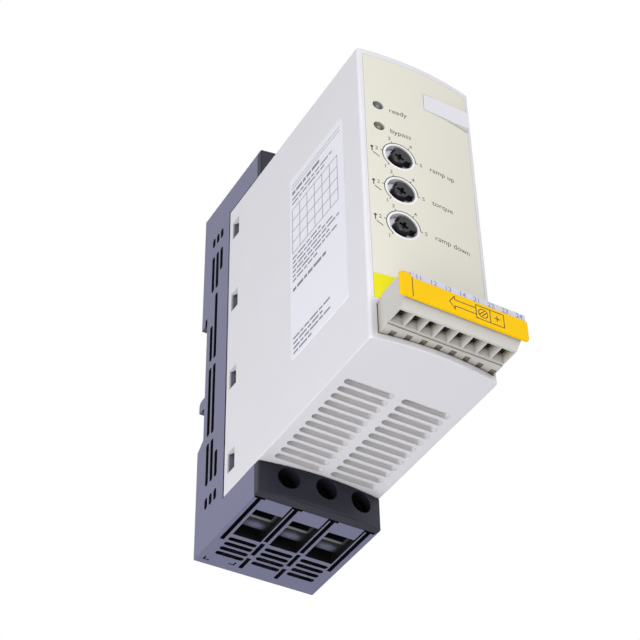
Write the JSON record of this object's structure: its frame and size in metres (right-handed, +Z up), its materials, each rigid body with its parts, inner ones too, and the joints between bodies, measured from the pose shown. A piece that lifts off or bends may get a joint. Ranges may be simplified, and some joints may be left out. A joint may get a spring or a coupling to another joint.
{
  "type": "soft starter",
  "caption": "Slim rail-mounted motor soft starter with a pale vented housing, front dials, lamps, a pull-off control plug and power screw terminals at both ends of a dark base.",
  "frame": {"origin": "middle of the rail channel, in the plane of the back", "axes": "+X to the right seen from the front, -Y towards the front, +Z up along the height"},
  "size_m": [0.0455, 0.1288, 0.154],
  "materials": {
    "base_plastic": "fine moulded grain",
    "housing_plastic": "smooth moulded",
    "label_film": "printed film",
    "rating_film": "printed film",
    "yellow_film": "glossy film",
    "aluminium": "extruded",
    "steel": "zinc plated",
    "copper": "tinned",
    "black_epoxy": "moulded",
    "board": "lacquered",
    "relay_plastic": "smooth moulded",
    "winding": "lacquered",
    "dial_black": "smooth moulded",
    "dial_white": "smooth moulded",
    "lamp_green": "unlit lens",
    "lamp_amber": "unlit lens",
    "plug_plastic": "smooth moulded",
    "header_plastic": "smooth moulded",
    "strip_yellow": "smooth moulded",
    "legend_plastic": "smooth moulded"
  },
  "bodies": {
    "chassis": {"base": "base_plastic", "terminal_cover_bottom": "base_plastic", "terminal_cover_top": "base_plastic", "housing": "housing_plastic", "front_label": "label_film", "rating_label": "rating_film", "yellow_label": "yellow_film", "heatsink": "aluminium", "heatsink_screws": "steel", "thyristor_1": "black_epoxy", "thyristor_2": "black_epoxy", "power_board": "board", "bypass_relay_1": "relay_plastic", "bypass_relay_2": "relay_plastic", "link_board": "board", "control_board": "board", "supply_transformer": "winding", "filter_capacitors": "relay_plastic", "header": "header_plastic", "header_pins": "copper", "dial_body_1": "dial_white", "dial_body_2": "dial_white", "dial_body_3": "dial_white", "power_led": "lamp_green", "run_led": "lamp_amber", "vent_baffle_bottom": "housing_plastic", "vent_baffle_top": "housing_plastic", "load_bar_1": "copper", "load_bar_2": "copper", "load_bar_3": "copper", "line_bar_1": "copper", "line_bar_2": "copper", "line_bar_3": "copper", "din_spring": "steel"},
    "rail_latch": {"din_latch": "base_plastic"},
    "plug": {"control_plug": "plug_plastic", "plug_screws": "steel", "plug_clamps": "copper", "marker_strip": "strip_yellow", "legend_insert": "legend_plastic"},
    "dial_1_rotor": {"dial_1": "dial_black"},
    "dial_2_rotor": {"dial_2": "dial_black"},
    "dial_3_rotor": {"dial_3": "dial_black"},
    "load_screw_1_body": {"load_screw_1": "steel"},
    "load_clamp_1_body": {"load_clamp_1": "steel"},
    "load_screw_2_body": {"load_screw_2": "steel"},
    "load_clamp_2_body": {"load_clamp_2": "steel"},
    "load_screw_3_body": {"load_screw_3": "steel"},
    "load_clamp_3_body": {"load_clamp_3": "steel"},
    "line_screw_1_body": {"line_screw_1": "steel"},
    "line_clamp_1_body": {"line_clamp_1": "steel"},
    "line_screw_2_body": {"line_screw_2": "steel"},
    "line_clamp_2_body": {"line_clamp_2": "steel"},
    "line_screw_3_body": {"line_screw_3": "steel"},
    "line_clamp_3_body": {"line_clamp_3": "steel"}
  },
  "joints": [
    {"name": "latch_slide", "type": "slide", "parent": "chassis", "child": "rail_latch", "axis": [0, 0, -1], "range_m": [0, 0.0035], "stiffness_N_per_m": 1500, "springref_m": -0.003, "deforming": ["din_spring"]},
    {"name": "plug_pull", "type": "slide", "parent": "chassis", "child": "plug", "axis": [0, -1, 0], "range_m": [0, 0.012]},
    {"name": "dial_1_turn", "type": "hinge", "parent": "chassis", "child": "dial_1_rotor", "pos_m": [-0.0093, -0.1124, 0.0093], "axis": [0, -1, 0], "range_deg": [0, 232]},
    {"name": "dial_2_turn", "type": "hinge", "parent": "chassis", "child": "dial_2_rotor", "pos_m": [-0.0093, -0.1124, -0.0061], "axis": [0, -1, 0], "range_deg": [0, 232]},
    {"name": "dial_3_turn", "type": "hinge", "parent": "chassis", "child": "dial_3_rotor", "pos_m": [-0.0093, -0.1124, -0.0215], "axis": [0, -1, 0], "range_deg": [0, 232]},
    {"name": "load_screw_1_turn", "type": "hinge", "parent": "chassis", "child": "load_screw_1_body", "pos_m": [-0.0121, -0.04, -0.0759], "axis": [0, 1, 0], "range_deg": [0, 1542.86]},
    {"name": "load_clamp_1_slide", "type": "slide", "parent": "chassis", "child": "load_clamp_1_body", "axis": [0, -1, 0], "range_m": [0, 0.003]},
    {"name": "load_screw_2_turn", "type": "hinge", "parent": "chassis", "child": "load_screw_2_body", "pos_m": [0.0012, -0.04, -0.0759], "axis": [0, 1, 0], "range_deg": [0, 1542.86]},
    {"name": "load_clamp_2_slide", "type": "slide", "parent": "chassis", "child": "load_clamp_2_body", "axis": [0, -1, 0], "range_m": [0, 0.003]},
    {"name": "load_screw_3_turn", "type": "hinge", "parent": "chassis", "child": "load_screw_3_body", "pos_m": [0.0145, -0.04, -0.0759], "axis": [0, 1, 0], "range_deg": [0, 1542.86]},
    {"name": "load_clamp_3_slide", "type": "slide", "parent": "chassis", "child": "load_clamp_3_body", "axis": [0, -1, 0], "range_m": [0, 0.003]},
    {"name": "line_screw_1_turn", "type": "hinge", "parent": "chassis", "child": "line_screw_1_body", "pos_m": [-0.0121, -0.04, 0.0629], "axis": [0, 1, 0], "range_deg": [0, 1542.86]},
    {"name": "line_clamp_1_slide", "type": "slide", "parent": "chassis", "child": "line_clamp_1_body", "axis": [0, -1, 0], "range_m": [0, 0.003]},
    {"name": "line_screw_2_turn", "type": "hinge", "parent": "chassis", "child": "line_screw_2_body", "pos_m": [0.0012, -0.04, 0.0629], "axis": [0, 1, 0], "range_deg": [0, 1542.86]},
    {"name": "line_clamp_2_slide", "type": "slide", "parent": "chassis", "child": "line_clamp_2_body", "axis": [0, -1, 0], "range_m": [0, 0.003]},
    {"name": "line_screw_3_turn", "type": "hinge", "parent": "chassis", "child": "line_screw_3_body", "pos_m": [0.0145, -0.04, 0.0629], "axis": [0, 1, 0], "range_deg": [0, 1542.86]},
    {"name": "line_clamp_3_slide", "type": "slide", "parent": "chassis", "child": "line_clamp_3_body", "axis": [0, -1, 0], "range_m": [0, 0.003]}
  ],
  "couplings": [
    {"joint": "load_screw_1_turn", "follows": "load_clamp_1_slide", "rad_per_m": 8976},
    {"joint": "load_screw_2_turn", "follows": "load_clamp_2_slide", "rad_per_m": 8976},
    {"joint": "load_screw_3_turn", "follows": "load_clamp_3_slide", "rad_per_m": 8976},
    {"joint": "line_screw_1_turn", "follows": "line_clamp_1_slide", "rad_per_m": 8976},
    {"joint": "line_screw_2_turn", "follows": "line_clamp_2_slide", "rad_per_m": 8976},
    {"joint": "line_screw_3_turn", "follows": "line_clamp_3_slide", "rad_per_m": 8976}
  ]
}
